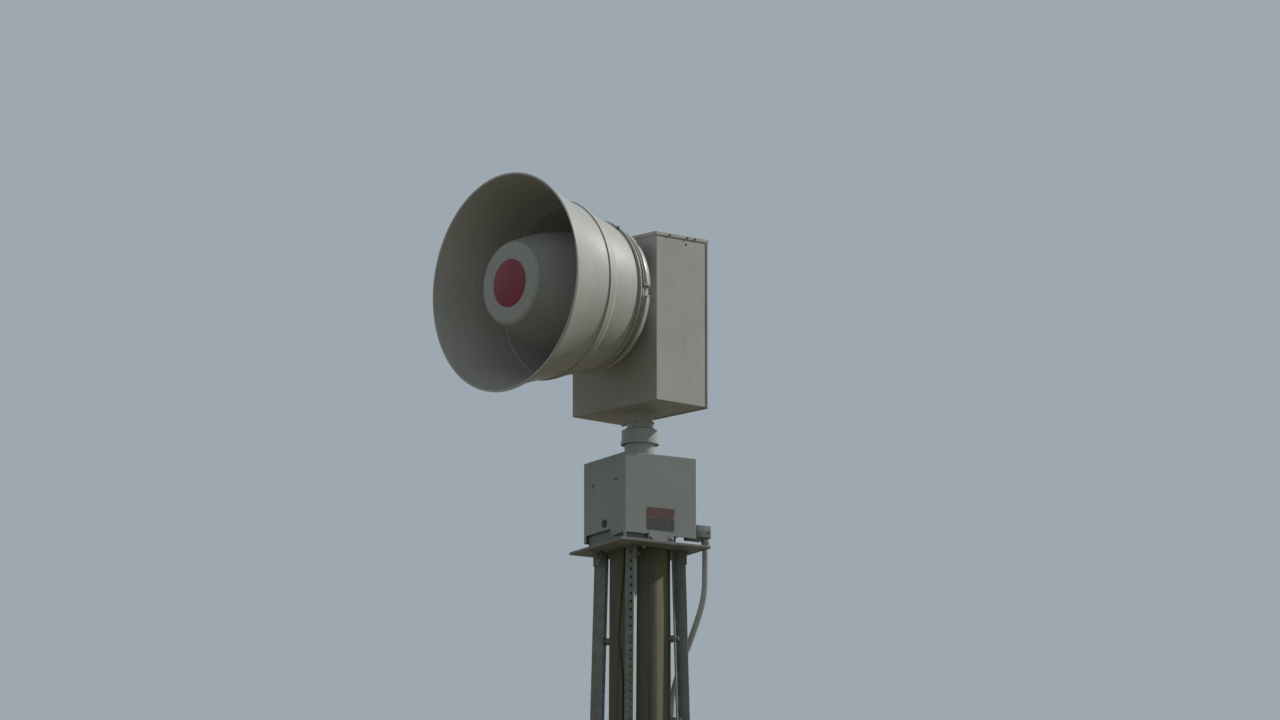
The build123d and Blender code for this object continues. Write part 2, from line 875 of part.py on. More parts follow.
# The pieces by node name: those that stand still, then those that turn with the head
still_pieces = {
    "pole": pole,
    "mounting_plate": plate,
    "leg_back_right": around_pole(leg, leg_angles[0]),
    "leg_back_left": around_pole(leg, leg_angles[1]),
    "leg_front_left": around_pole(leg, leg_angles[2]),
    "leg_front_right": around_pole(leg, leg_angles[3]),
    "leg_lag_bolts": Compound(children=lag_bolts),
    "leg_spacers": Compound(children=lag_spacers),
    "leg_clips": Compound(children=clips),
    "rotator_base": rotator_base,
    "rotator_gearbox": gearbox,
    "rotator_cover": cover,
    "cover_hole_plug": hole_plug,
    "bearing_tube": bearing_tube,
    "junction_box": junction_box,
    "conduit_fitting": conduit_fitting,
    "flexible_conduit": flexible_conduit,
    "conduit_coupling": conduit_coupling,
    "pole_conduit": pole_conduit,
    "conduit_straps": Compound(children=conduit_straps),
}
turning_pieces = {
    "drive_shaft": drive_shaft,
    "neck": neck,
    "weather_skirt": weather_skirt,
    "housing_body": housing_body,
    "housing_top_cover": top_cover,
    "housing_back_cover": back_cover,
    "throat_housing": throat_housing,
    "siren_motor": siren_motor,
    "chopper": chopper,
    "stator": stator,
    "horn_back_pan": back_pan,
    "horn_clamp_upper": clamp_upper,
    "horn_clamp_lower": clamp_lower,
    "horn_rear": horn_rear,
    "horn_front": horn_front,
    "inner_cone": inner_cone,
    "cone_nose": nose,
}

os.makedirs("parts", exist_ok=True)
for name, piece in still_pieces.items():
    export_step(piece, f"parts/{name}.step")
for name, piece in turning_pieces.items():
    export_step(piece.rotate(Axis.Z, head_heading), f"parts/{name}.step")
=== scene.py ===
# %% [markdown]
# # A siren tower, dressed for its portrait
# A warning siren stands on a wooden pole: a flared horn on a turning box, a geared rotator under
# it, a square plate on four perforated legs, and conduit down the pole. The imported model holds
# every size and the joint, so it is loaded first and stays as it is. This lesson adds finishes,
# fasteners, the round log and the flexible conduit. Lengths are metres.

import json
import math
import random

import bmesh
import bpy
from mathutils import Matrix, Vector, noise


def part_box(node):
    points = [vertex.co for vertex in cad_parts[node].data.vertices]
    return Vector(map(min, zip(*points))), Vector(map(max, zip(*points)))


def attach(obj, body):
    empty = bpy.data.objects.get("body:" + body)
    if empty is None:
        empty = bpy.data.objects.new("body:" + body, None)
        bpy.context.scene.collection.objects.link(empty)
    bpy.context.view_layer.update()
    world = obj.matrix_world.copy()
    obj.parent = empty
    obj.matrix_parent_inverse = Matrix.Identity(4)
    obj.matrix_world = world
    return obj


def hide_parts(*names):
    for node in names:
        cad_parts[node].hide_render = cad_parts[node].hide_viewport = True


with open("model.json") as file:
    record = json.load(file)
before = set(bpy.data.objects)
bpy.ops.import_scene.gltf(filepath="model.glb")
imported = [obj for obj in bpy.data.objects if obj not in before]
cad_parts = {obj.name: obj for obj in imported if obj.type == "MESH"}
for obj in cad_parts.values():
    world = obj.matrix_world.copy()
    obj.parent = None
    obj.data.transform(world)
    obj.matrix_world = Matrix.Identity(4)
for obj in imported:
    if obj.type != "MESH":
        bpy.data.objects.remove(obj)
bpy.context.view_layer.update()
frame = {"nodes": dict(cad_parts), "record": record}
still, turning = "tower", "siren_head"

# %% [markdown]
# ## The turned head
# At rest the head points a little away from the rotator's own faces. Pieces on the head are
# easiest to place in the head's own frame, so one helper turns a point into place and another
# measures a node in that frame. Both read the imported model, so nothing has to be fitted by eye.

# %% Work in the head's own frame
head_heading = math.radians(10.9)
head_turn = Matrix.Rotation(head_heading, 4, "Z")


def head_box(node):
    """Lowest and highest corners of a node in the head's own frame."""
    back = head_turn.inverted()
    corners = [back @ v.co for v in frame["nodes"][node].data.vertices]
    low = Vector([min(c[i] for c in corners) for i in range(3)])
    high = Vector([max(c[i] for c in corners) for i in range(3)])
    return low, high


mouth_low, mouth_high = head_box("horn_front")
horn_centre = Vector((mouth_low.x, 0, (mouth_low.z + mouth_high.z) / 2))
print("horn mouth, in the head's frame:", [round(c, 4) for c in horn_centre])

# %% [markdown]
# ## The camera
# The picture was taken from far away with a long lens, so its lines hardly converge. The eye is
# about the height of a person and looks up by 11 degrees. A real camera is used, not an
# orthographic one, because the small convergence that is left belongs to the picture.

# %% Aim the camera
view_heading, view_elevation = math.radians(-120.5), math.radians(-11.0)
view_distance, view_width, view_centre_height = 57.0, 4.416, 12.473


def pointing(heading, elevation=0.0):
    """Unit vector along a heading round the upward axis, raised by an elevation."""
    level = math.cos(elevation)
    return Vector((math.cos(heading) * level, math.sin(heading) * level, math.sin(elevation)))


def into_scene(name, data):
    """A new object that holds some data, linked to the scene."""
    made = bpy.data.objects.new(name, data)
    bpy.context.collection.objects.link(made)
    return made


towards_eye = pointing(view_heading, view_elevation)
camera_data = bpy.data.cameras.new("long_lens")
camera_data.sensor_width = 36.0
camera_data.lens = camera_data.sensor_width * view_distance / view_width
camera_data.clip_start = 1.0
camera_data.clip_end = 400.0
camera = into_scene("long_lens", camera_data)
camera.location = Vector((0, 0, view_centre_height)) + towards_eye * view_distance
camera.rotation_mode = "QUATERNION"
camera.rotation_quaternion = (-towards_eye).to_track_quat("-Z", "Y")
bpy.context.scene.camera = camera
print("lens", round(camera_data.lens), "mm, eye height", round(camera.location.z, 2))

# %% [markdown]
# ## Light and backdrop
# The sun stands to the right and about 34 degrees up, so the legs and the horn get bright edges
# while most faces towards the camera lie in open shade or are only grazed. One broad sun lamp
# gives that direction, a weak one from the other side keeps the shade readable, and an even
# world does the rest, darker from below, as open ground is. The backdrop's grey is shown only to
# rays from the camera, and to mirrored rays that look above the horizon. Those that look down see
# the ground's shade, or else every underside would gleam like the sky.

# %% Set the lamps
key_heading, key_elevation = math.radians(-12.0), math.radians(34.0)
key_strength, key_spread = 2.25, 1.5
fill_heading, fill_elevation = math.radians(195.0), math.radians(20.0)
fill_strength, fill_spread = 0.10, 50.0


def sun_lamp(name, heading, elevation, strength, spread):
    """A far lamp that shines from a heading and an elevation."""
    data = bpy.data.lights.new(name, "SUN")
    data.energy = strength
    data.angle = math.radians(spread)
    lamp = into_scene(name, data)
    lamp.rotation_mode = "QUATERNION"
    lamp.rotation_quaternion = pointing(heading, elevation).to_track_quat("Z", "Y")
    return lamp


key = sun_lamp("key", key_heading, key_elevation, key_strength, key_spread)
fill = sun_lamp("fill", fill_heading, fill_elevation, fill_strength, fill_spread)
key.data.color = (1.0, 0.97, 0.92)
bpy.context.scene.view_settings.view_transform = "Standard"
print("lamps:", key.name, fill.name)


# %% Link nodes with short helpers
def add_node(tree, kind, sockets=None, **settings):
    """Add a shader node, set its fields, and link or set its sockets."""
    made = tree.nodes.new("ShaderNode" + kind)
    for field, value in settings.items():
        setattr(made, field, value)
    for socket, value in (sockets or {}).items():
        if isinstance(value, bpy.types.NodeSocket):
            tree.links.new(value, made.inputs[socket])
        else:
            made.inputs[socket].default_value = value
    return made


def maths(tree, operation, first, second):
    """One value made from two."""
    return add_node(tree, "Math", {0: first, 1: second}, operation=operation).outputs[0]


def spread(tree, value, start, end, low=0.0, high=1.0):
    """Stretch a value's range from start..end to low..high, clamped."""
    made = add_node(
        tree, "MapRange",
        {"Value": value, "From Min": start, "From Max": end, "To Min": low, "To Max": high},
    )
    return made.outputs["Result"]


def layer(tree, mask, under, over):
    """One colour over another, where a mask says."""
    return add_node(tree, "Mix", {0: mask, 6: under, 7: over}, data_type="RGBA").outputs[2]


print("node kinds are written without their ShaderNode prefix")

# %% Paint the world
backdrop_colour = (0.337, 0.392, 0.440, 1)
upper_shade = (0.188, 0.214, 0.230, 1)
lower_shade = (0.135, 0.125, 0.086, 1)

world = bpy.data.worlds.new("open_sky")
bpy.context.scene.world = world
world.use_nodes = True
sky = world.node_tree
sky.nodes.clear()
rays = add_node(sky, "LightPath").outputs
direction = add_node(sky, "TexCoord").outputs["Generated"]
upward = add_node(sky, "SeparateXYZ", {0: direction}).outputs["Z"]
over_horizon = spread(sky, upward, -0.10, 0.12)
mirrored = maths(sky, "MULTIPLY", rays["Is Glossy Ray"], over_horizon)
seen = maths(sky, "MAXIMUM", rays["Is Camera Ray"], mirrored)
seen = maths(sky, "MAXIMUM", seen, rays["Is Transmission Ray"])
shade = layer(sky, over_horizon, lower_shade, upper_shade)
lit_by = add_node(sky, "Background", {"Color": shade})
shown = add_node(sky, "Background", {"Color": backdrop_colour})
either = add_node(sky, "MixShader", {0: seen, 1: lit_by.outputs[0], 2: shown.outputs[0]})
add_node(sky, "OutputWorld", {"Surface": either.outputs[0]})
print("world:", world.name)

# %% [markdown]
# ## Finishes
# Every finish is a small recipe of noise in object coordinates. A node's object sits at the
# origin, so those coordinates are real metres, and a grain of 4 mm is written as 0.004. Painted
# sheet gets mottling, rain runs and dust on what faces up. Zinc gets its spangle from a cell
# pattern. Wood gets long fibres by squeezing the coordinates along the pole.

# %% Recipes that all the finishes share
def start_finish(name, roughness, metallic=0.0):
    """A new material, with what is the same all over set on the shader itself."""
    material = bpy.data.materials.new(name)
    material.use_nodes = True
    tree = material.node_tree
    shader = tree.nodes["Principled BSDF"]
    shader.inputs["Roughness"].default_value = roughness
    shader.inputs["Metallic"].default_value = metallic
    return material, tree, shader


def surface(tree, squeeze=(1, 1, 1)):
    """Object coordinates in metres, squeezed along each axis."""
    place = add_node(tree, "TexCoord")
    scaled = add_node(
        tree, "Mapping", {"Vector": place.outputs["Object"], "Scale": squeeze}
    )
    return scaled.outputs["Vector"]


def grain(tree, where, size, detail=3.0, roughness=0.55):
    """Noise whose features are about size metres across."""
    made = add_node(
        tree, "TexNoise",
        {"Vector": where, "Scale": 1 / size, "Detail": detail, "Roughness": roughness},
    )
    return made.outputs["Fac"]


def relief(tree, height, distance, strength=1.0, below=None):
    """Bump from a height, on top of another bump."""
    sockets = {"Height": height, "Distance": distance, "Strength": strength}
    if below is not None:
        sockets["Normal"] = below
    return add_node(tree, "Bump", sockets).outputs["Normal"]


def faced(tree, way):
    """How far the surface faces a way, from -1 to 1."""
    normal = add_node(tree, "NewGeometry").outputs["Normal"]
    product = add_node(tree, "VectorMath", {0: normal, 1: way}, operation="DOT_PRODUCT")
    return product.outputs["Value"]


def tone(colour, factor):
    """The same colour, lighter or darker."""
    return (colour[0] * factor, colour[1] * factor, colour[2] * factor, 1)


def wear(tree, shader, base, skin, worn=None):
    """Link the colour, the relief and, where it varies, the roughness."""
    for socket, value in (("Base Color", base), ("Normal", skin), ("Roughness", worn)):
        if value is not None:
            tree.links.new(value, shader.inputs[socket])


print("recipes ready")


# %% Painted sheet
road_dust = (0.20, 0.19, 0.165)
lacquer_roughness = 0.17


def painted(name, colour, roughness, runs=0.30, gloss=0.0, settled=0.35):
    """Satin paint with mottling, rain runs, dust above, darker on what faces down, and some gloss
    left.
    """
    material, tree, shader = start_finish(name, roughness)
    shader.inputs["Coat Weight"].default_value = gloss
    shader.inputs["Coat Roughness"].default_value = lacquer_roughness
    where = surface(tree)
    streaky = surface(tree, (1, 1, 0.035))
    clouds = spread(tree, grain(tree, where, 0.16, 4), 0.35, 0.65)
    base = layer(tree, clouds, tone(colour, 0.93), tone(colour, 1.03))
    run_lines = spread(tree, grain(tree, streaky, 0.011, 2), 0.56, 0.74, 0, runs)
    patchy = spread(tree, grain(tree, where, 0.22, 2), 0.42, 0.62)
    in_patches = maths(tree, "MULTIPLY", run_lines, patchy)
    base = layer(tree, in_patches, base, tone(road_dust, 1))
    skyward = faced(tree, (0, 0, 1))
    base = layer(tree, spread(tree, skyward, 0.55, 1.0, 0, settled), base, tone(road_dust, 1))
    # what faces down is made darker
    base = layer(tree, spread(tree, skyward, -0.4, -1.0, 0, 0.30), base, tone(road_dust, 0.7))
    flecks = spread(tree, grain(tree, where, 0.004, 2), 0.70, 0.78, 0, 0.35)
    base = layer(tree, flecks, base, tone(road_dust, 0.6))
    worn = spread(tree, grain(tree, where, 0.05, 3), 0.3, 0.7, roughness - 0.05, roughness + 0.09)
    ripple = relief(tree, grain(tree, where, 0.03, 2), 0.0006, 0.5)
    skin = relief(tree, grain(tree, where, 0.0018, 2), 0.00012, 0.6, ripple)
    wear(tree, shader, base, skin, worn)
    return material


head_grey = (0.52, 0.515, 0.50)
rotator_grey = (0.385, 0.42, 0.415)
horn_grey = (0.56, 0.555, 0.525)
cone_grey = (0.47, 0.49, 0.48)
finish = {
    "head_paint": painted("head_paint", head_grey, 0.42, runs=0.20),
    "rotator_paint": painted("rotator_paint", rotator_grey, 0.45, runs=0.18),
    "horn_shell": painted("horn_shell", horn_grey, 0.46, runs=0.20, gloss=0.35, settled=0.05),
    "cone_shell": painted("cone_shell", cone_grey, 0.45, runs=0.15),
}
# a darker grey for the conduit box; on the notch strip the same grey is painted shade for what
# shows through the notches
box_and_notch_shade_grey = (0.225, 0.265, 0.265)
box_paint_and_notch_shade = painted("box_paint_and_notch_shade", box_and_notch_shade_grey, 0.48, runs=0.20)
# the neck, skirt and tube get a paler, glossier grey: the gloss is a finish, the paleness is
# painted light that brings up their sunlit edges
neck_painted_light_grey = (0.52, 0.55, 0.535)
neck_paint_with_painted_light = painted("neck_paint_with_painted_light", neck_painted_light_grey, 0.36, runs=0.15, gloss=0.2)
# a paler, glossier copy of the horn's paint for the bands is painted light, and a darker copy for
# the clamp halves is painted shade
band_painted_light = painted("band_painted_light", (0.68, 0.68, 0.65), 0.34, runs=0.08, gloss=0.7, settled=0.05)
clamp_painted_shade = painted("clamp_painted_shade", (0.36, 0.36, 0.335), 0.5, runs=0.20, settled=0.05)
print("painted finishes:", sorted(finish))


# %% Hot-dip zinc
painted_light_facing = (0.707, -0.707, 0)  # the way the near leg's sunlit flange faces; it is painted lighter as painted light


def zinc(name, colour, roughness, cell, metallic=0.25, painted_light_gain=0.0):
    """Galvanised steel: a spangle of cells, dull bloom, a few dark stains, and a sunward side
    painted lighter as painted light.
    """
    material, tree, shader = start_finish(name, roughness, metallic)
    where = surface(tree)
    cells = add_node(tree, "TexVoronoi", {"Vector": where, "Scale": 1 / cell})
    pick = add_node(tree, "SeparateColor", {0: cells.outputs["Color"]}).outputs[0]
    base = layer(tree, pick, tone(colour, 0.80), tone(colour, 1.12))
    bloom = spread(tree, grain(tree, where, 0.05, 5), 0.48, 0.70, 0, 0.75)
    base = layer(tree, bloom, base, tone(colour, 1.3))
    drips = spread(tree, grain(tree, surface(tree, (1, 1, 0.05)), 0.014, 3), 0.58, 0.74, 0, 0.6)
    base = layer(tree, drips, base, tone(colour, 0.45))
    # faces turned towards the sun get a lighter colour: painted light
    if painted_light_gain:
        painted_light_side = spread(tree, faced(tree, painted_light_facing), 0.80, 0.97)
        base = layer(tree, painted_light_side, base, tone(colour, painted_light_gain))
    dull = spread(tree, pick, 0, 1, roughness - 0.08, roughness + 0.12)
    facets = relief(tree, pick, 0.00015, 0.4)
    pitted = relief(tree, grain(tree, where, 0.002, 2), 0.0001, 0.5, facets)
    wear(tree, shader, base, pitted, dull)
    return material


leg_zinc = (0.235, 0.257, 0.248)
finish["galvanised_steel"] = zinc("galvanised_steel", leg_zinc, 0.52, 0.009, 0.15)
# one flange of the near leg faces the sun and is painted lighter: painted light
zinc_with_painted_light = zinc("zinc_with_painted_light", leg_zinc, 0.52, 0.009, 0.15, painted_light_gain=2.3)
finish["bolt_steel"] = zinc("bolt_steel", (0.25, 0.255, 0.25), 0.48, 0.004)
finish["conduit_steel"] = zinc("conduit_steel", (0.36, 0.38, 0.39), 0.42, 0.006)
deck_zinc = zinc("deck_zinc", (0.28, 0.285, 0.275), 0.62, 0.009, 0.05)
print("zinc finishes:", [n for n in finish if "steel" in n])


# %% Machined and cast metal
def bare_metal(name, colour, roughness, metallic, pit):
    """Metal with fine pits and a rusty or oily cast."""
    material, tree, shader = start_finish(name, roughness, metallic)
    where = surface(tree)
    patches = spread(tree, grain(tree, where, 0.03, 4), 0.4, 0.65)
    base = layer(tree, patches, tone(colour, 0.8), tone(colour, 1.1))
    rust = spread(tree, grain(tree, where, 0.012, 5), 0.62, 0.75, 0, 0.5)
    base = layer(tree, rust, base, (0.16, 0.085, 0.045, 1))
    rough = spread(tree, patches, 0, 1, roughness - 0.07, roughness + 0.1)
    wear(tree, shader, base, relief(tree, grain(tree, where, pit, 3), pit / 10), rough)
    return material


finish["machine_steel"] = bare_metal("machine_steel", (0.33, 0.335, 0.32), 0.42, 0.45, 0.002)
finish["cast_housing"] = bare_metal("cast_housing", (0.36, 0.385, 0.37), 0.62, 0.08, 0.004)
print("metal finishes:", ["machine_steel", "cast_housing"])


# %% Plastic and rubber
def moulded(name, colour, roughness, bloom=0.15):
    """Weathered plastic: a grey bloom over an even colour."""
    material, tree, shader = start_finish(name, roughness)
    where = surface(tree)
    chalk = spread(tree, grain(tree, where, 0.02, 4), 0.40, 0.70, 0, bloom)
    base = layer(tree, chalk, (*colour, 1), (0.45, 0.46, 0.45, 1))
    worn = spread(tree, grain(tree, where, 0.01, 3), 0.3, 0.7, roughness - 0.06, roughness + 0.1)
    skin = relief(tree, grain(tree, where, 0.001, 2), 0.0001, 0.6)
    wear(tree, shader, base, skin, worn)
    return material


finish["flexible_jacket"] = moulded("flexible_jacket", (0.56, 0.61, 0.62), 0.32)
finish["plug_plastic"] = moulded("plug_plastic", (0.025, 0.026, 0.027), 0.55, 0.06)
print("plastic finishes:", ["flexible_jacket", "plug_plastic"])


# %% Weathered pole wood
# headings of the side where the sun falls, made paler: partly sun-bleached wood, partly painted
# light
bleach_and_light_starts = (math.radians(-92), math.radians(-87))  # headings round the pole
bleach_and_light_ends = (math.radians(-50), math.radians(-36))
algae_green = (0.115, 0.125, 0.075, 1)


def pole_wood(name, pale, dark, bleached_and_lit):
    """A treated log: long fibres, a side paler where the sun falls (partly bleaching, partly
    painted light), darker runs, hair checks and a damp foot.
    """
    material, tree, shader = start_finish(name, 0.85)
    where = surface(tree)
    long_way = surface(tree, (1, 1, 0.022))
    fibres = spread(tree, grain(tree, long_way, 0.0032, 4, 0.65), 0.32, 0.70)
    base = layer(tree, fibres, (*dark, 1), (*pale, 1))
    axes = add_node(tree, "SeparateXYZ", {0: where})
    heading = maths(tree, "ARCTAN2", axes.outputs["Y"], axes.outputs["X"])
    # the band where the sun falls is made paler: partly bleaching, partly painted light
    from_left = spread(tree, heading, *bleach_and_light_starts)
    to_right = spread(tree, heading, *bleach_and_light_ends, 1, 0)
    bleached_and_sunlit_band = maths(tree, "MULTIPLY", from_left, to_right)
    base = layer(tree, bleached_and_sunlit_band, base, (*bleached_and_lit, 1))
    broad = spread(tree, grain(tree, long_way, 0.035, 3), 0.42, 0.66, 0, 0.40)
    base = layer(tree, broad, base, tone(dark, 0.85))
    green = spread(tree, grain(tree, where, 0.5, 3), 0.45, 0.65, 0, 0.30)
    base = layer(tree, green, base, algae_green)
    hair_checks = spread(tree, grain(tree, long_way, 0.009, 2, 0.4), 0.64, 0.68, 0, 0.45)
    base = layer(tree, hair_checks, base, tone(dark, 0.4))
    damp = spread(tree, axes.outputs["Z"], 0.9, 0.0, 0, 0.55)
    base = layer(tree, damp, base, tone(dark, 0.5))
    coarse = relief(tree, fibres, 0.0007, 0.6)
    split = relief(tree, spread(tree, hair_checks, 0, 1, 1, 0), 0.002, 0.8, coarse)
    wear(tree, shader, base, split)
    return material


# the third colour is that paler band, partly bleaching and partly painted light
finish["weathered_wood"] = pole_wood(
    "weathered_wood", (0.180, 0.178, 0.140), (0.125, 0.123, 0.095), (0.235, 0.23, 0.14)
)
print("finishes in all:", len(finish))

# %% [markdown]
# ## Which finish goes where
# The imported record names a material slot for each node, and most nodes take that slot's finish.
# A few get a finish of their own: the plate is duller zinc than the legs, the near leg's flange
# that faces the sun is painted pale as painted light, the small conduit box is painted darker,
# the neck, its skirt and the tube get a paler, glossier grey that is partly painted light for
# their sunlit edges, and the clamp halves are painted dark as painted shade.

# %% Give every carried-over node its finish
slot_of = {part["node"]: part["material_slot"] for part in frame["record"]["subparts"]}
for node_name, node in frame["nodes"].items():
    node.data.materials.clear()
    node.data.materials.append(finish[slot_of[node_name]])
# some of these stand for light and shade: the pale flange is painted light, the dark clamp halves
# painted shade, the neck's paler grey partly painted light
own_finish = {
    "mounting_plate": deck_zinc, "leg_front_left": zinc_with_painted_light, "junction_box": box_paint_and_notch_shade,
    "neck": neck_paint_with_painted_light, "weather_skirt": neck_paint_with_painted_light, "bearing_tube": neck_paint_with_painted_light,
    "horn_clamp_upper": clamp_painted_shade, "horn_clamp_lower": clamp_painted_shade,
}
for node_name, its_finish in own_finish.items():
    frame["nodes"][node_name].data.materials[0] = its_finish
print("nodes finished:", len(slot_of), "with a finish of their own:", len(own_finish))

# %% [markdown]
# ## Folded edges
# Sheet metal is folded round a small radius and castings have softened edges, so each sharp edge
# of the real tower catches a thin line of light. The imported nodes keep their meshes. A Bevel
# modifier after a Weld rounds only what is sharper than 40 degrees, inside the old outline.

# %% Round the edges of boxes and plates
edge_radius = {
    "rotator_cover": 0.0030, "housing_body": 0.0030, "housing_top_cover": 0.0012,
    "housing_back_cover": 0.0016, "mounting_plate": 0.0015, "rotator_base": 0.0015,
    "rotator_gearbox": 0.0030, "junction_box": 0.0030,
}
sharp_fold = math.radians(40)
for node_name, radius in edge_radius.items():
    node = frame["nodes"][node_name]
    merged = node.modifiers.new("merge_triangles", "WELD")
    merged.merge_threshold = 1e-5
    folded = node.modifiers.new("folded_edges", "BEVEL")
    folded.width = radius
    folded.segments = 2
    folded.limit_method = "ANGLE"
    folded.angle_limit = sharp_fold
    even = node.modifiers.new("even_normals", "WEIGHTED_NORMAL")
    even.weight = 60
print("nodes with folded edges:", len(edge_radius))

# %% [markdown]
# ## Making pieces
# Every added piece is a bmesh that ends as one object at the origin, with its place in its mesh,
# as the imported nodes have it. One function does that end work: it merges doubles, turns the
# normals out, shades the rounded parts smooth, gives the finish and names the body that carries
# the piece. Edges sharper than 35 degrees stay sharp.

# %% End work for every piece
sharp_angle = math.radians(35.0)


def make_piece(name, bm, body, slot, material=None):
    """Turn a bmesh into a finished piece that rides on a body."""
    bmesh.ops.remove_doubles(bm, verts=bm.verts, dist=1e-6)
    bmesh.ops.recalc_face_normals(bm, faces=bm.faces)
    mesh = bpy.data.meshes.new(name)
    bm.to_mesh(mesh)
    bm.free()
    mesh.materials.append(material or finish[slot])
    mesh.shade_smooth()
    mesh.set_sharp_from_angle(angle=sharp_angle)
    piece = into_scene(name, mesh)
    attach(piece, body)
    print(name, "faces:", len(mesh.polygons))
    return piece


# %% [markdown]
# ## Fasteners
# Hex heads, nuts and screws are turned bars with flats. A prism with a small chamfer round its
# top face reads as one, because the chamfer catches the light, where a plain prism looks like a
# peg. One function makes such a stud anywhere: it builds the prism upright, bevels the top rim
# and carries it to its place along its facing. Later pieces use the bevel and the carrying too.

# %% Carry, bevel and make a stud
up = Vector((0, 0, 1))


def stand_on(spot, facing):
    """Matrix that carries an upright thing to a spot and points it along a facing."""
    return Matrix.Translation(spot) @ up.rotation_difference(facing).to_matrix().to_4x4()


def round_off(bm, edges, width, steps):
    """Bevel some edges and return the corners that this makes."""
    return bmesh.ops.bevel(
        bm, geom=list(edges), offset=width, offset_type="OFFSET", affect="EDGES",
        segments=steps, profile=0.5, material=-1,
    )["verts"]


def stud(bm, spot, facing, radius, height, sides, chamfer=0.0008):
    """A prism or disc that stands on a spot, with its top edge bevelled."""
    made = bmesh.ops.create_cone(
        bm, cap_ends=True, segments=sides, radius1=radius, radius2=radius, depth=height,
        matrix=Matrix.Translation((0, 0, height / 2)),
    )["verts"]
    rim = {
        edge
        for vert in made
        for edge in vert.link_edges
        if all(end.co.z > height * 0.99 for end in edge.verts)
    }
    bevelled = round_off(bm, rim, chamfer, 2)
    whole = {vert for vert in made if vert.is_valid} | set(bevelled)
    bmesh.ops.transform(bm, matrix=stand_on(spot, facing), verts=list(whole))


# %% Bolts, nuts and screws from studs
def hex_bolt(bm, spot, facing, across, tall=0.0, washer=True):
    """A washer with a hexagon head on it. The size is the width across the flats."""
    tall = tall or across * 0.62
    if washer:
        stud(bm, spot, facing, across * 0.92, across * 0.13, 28, across * 0.03)
        spot = spot + facing * across * 0.13
    stud(bm, spot, facing, across / 2 / math.cos(math.pi / 6), tall, 6, across * 0.07)


def nut_end(bm, spot, facing, across, bolt_radius, proud):
    """A washer and a nut with the bolt's end standing proud of it."""
    hex_bolt(bm, spot, facing, across, across * 0.5)
    stud(bm, spot, facing, bolt_radius, across * 0.63 + proud, 20, bolt_radius * 0.2)


def sheet_screw(bm, spot, facing, radius):
    """A small hexagon head on its own round flange, as sheet metal screws have."""
    stud(bm, spot, facing, radius, radius * 0.28, 24, radius * 0.12)
    stud(bm, spot, facing, radius * 0.66, radius, 6, radius * 0.10)


print("fasteners ready")

# %% [markdown]
# ## The flexible conduit
# The real one is a steel spiral in a grey jacket, 22 mm thick and about 0.66 m long, and stiff:
# it leaves the junction box straight down, bends in under the plate and joins the rigid conduit
# on the pole. Its line is a smooth spline drawn by a few control points. The jacket has shallow
# ripples where it sits on the spiral, so a ring is carried along the spline and swells and
# shrinks a little as it goes.

# %% The conduit's line
conduit_diameter = 0.022
pipe_low, pipe_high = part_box("conduit_coupling")
pipe_x = (pipe_low.x + pipe_high.x) / 2
conduit_route = [
    (0.191, -0.1185, 11.823), (0.191, -0.1185, 11.734), (0.190, -0.116, 11.646),
    (0.176, -0.089, 11.556), (0.148, -0.034, 11.420), (0.130, -0.003, 11.325),
    (pipe_x, 0.0, 11.245), (pipe_x, 0.0, 11.184),
]


def spline_points(route, resolution):
    """Points along the smooth spline that has the route as its control points."""
    curve = bpy.data.curves.new("conduit_line", "CURVE")
    curve.dimensions = "3D"
    curve.resolution_u = resolution
    spline = curve.splines.new("NURBS")
    spline.points.add(len(route) - 1)
    for point, place in zip(spline.points, route):
        point.co = (*place, 1)
    spline.order_u = 3
    spline.use_endpoint_u = True
    holder = bpy.data.objects.new("conduit_line", curve)
    mesh = bpy.data.meshes.new_from_object(holder)
    points = [v.co.copy() for v in mesh.vertices]
    bpy.data.objects.remove(holder)
    bpy.data.curves.remove(curve)
    bpy.data.meshes.remove(mesh)
    return points


conduit_line = spline_points(conduit_route, 64)
line_length = sum((b - a).length for a, b in zip(conduit_line, conduit_line[1:]))
print("conduit points:", len(conduit_line), "length:", round(line_length, 4))


# %% Carry a ring along the line
def walk(points, step):
    """Places one step apart along a line of points."""
    places = [points[0].copy()]
    carried = 0.0
    for start, end in zip(points, points[1:]):
        run = (end - start).length
        while carried + run >= step:
            start = start.lerp(end, (step - carried) / run)
            places.append(start.copy())
            run = (end - start).length
            carried = 0.0
        carried += run
    places.append(points[-1].copy())
    return places


ripple_pitch, ripple_depth = 0.0045, 0.0004
ring_sides, rings_a_ripple = 28, 4
stations = walk(conduit_line, ripple_pitch / rings_a_ripple)

bm = bmesh.new()
start_facing = (stations[1] - stations[0]).normalized()
ring = bmesh.ops.create_circle(
    bm, cap_ends=False, segments=ring_sides, radius=conduit_diameter / 2 - ripple_depth,
    matrix=stand_on(stations[0], start_facing),
)["verts"]
ring_edges = {edge for vert in ring for edge in vert.link_edges}
first_ring = set(ring_edges)
radius_now = conduit_diameter / 2 - ripple_depth
facing_now = start_facing
for index in range(1, len(stations)):
    moved = bmesh.ops.extrude_edge_only(bm, edges=list(ring_edges))["geom"]
    ring = [item for item in moved if isinstance(item, bmesh.types.BMVert)]
    ring_edges = {item for item in moved if isinstance(item, bmesh.types.BMEdge)}
    ahead = stations[min(index + 1, len(stations) - 1)] - stations[index - 1]
    facing = ahead.normalized()
    wave = 0.5 - 0.5 * math.cos(2 * math.pi * index / rings_a_ripple)
    radius = conduit_diameter / 2 - ripple_depth * (1 - wave)
    turn = facing_now.rotation_difference(facing).to_matrix().to_4x4()
    carry = (
        Matrix.Translation(stations[index])
        @ turn
        @ Matrix.Scale(radius / radius_now, 4)
        @ Matrix.Translation(-stations[index - 1])
    )
    bmesh.ops.transform(bm, matrix=carry, verts=ring)
    radius_now, facing_now = radius, facing
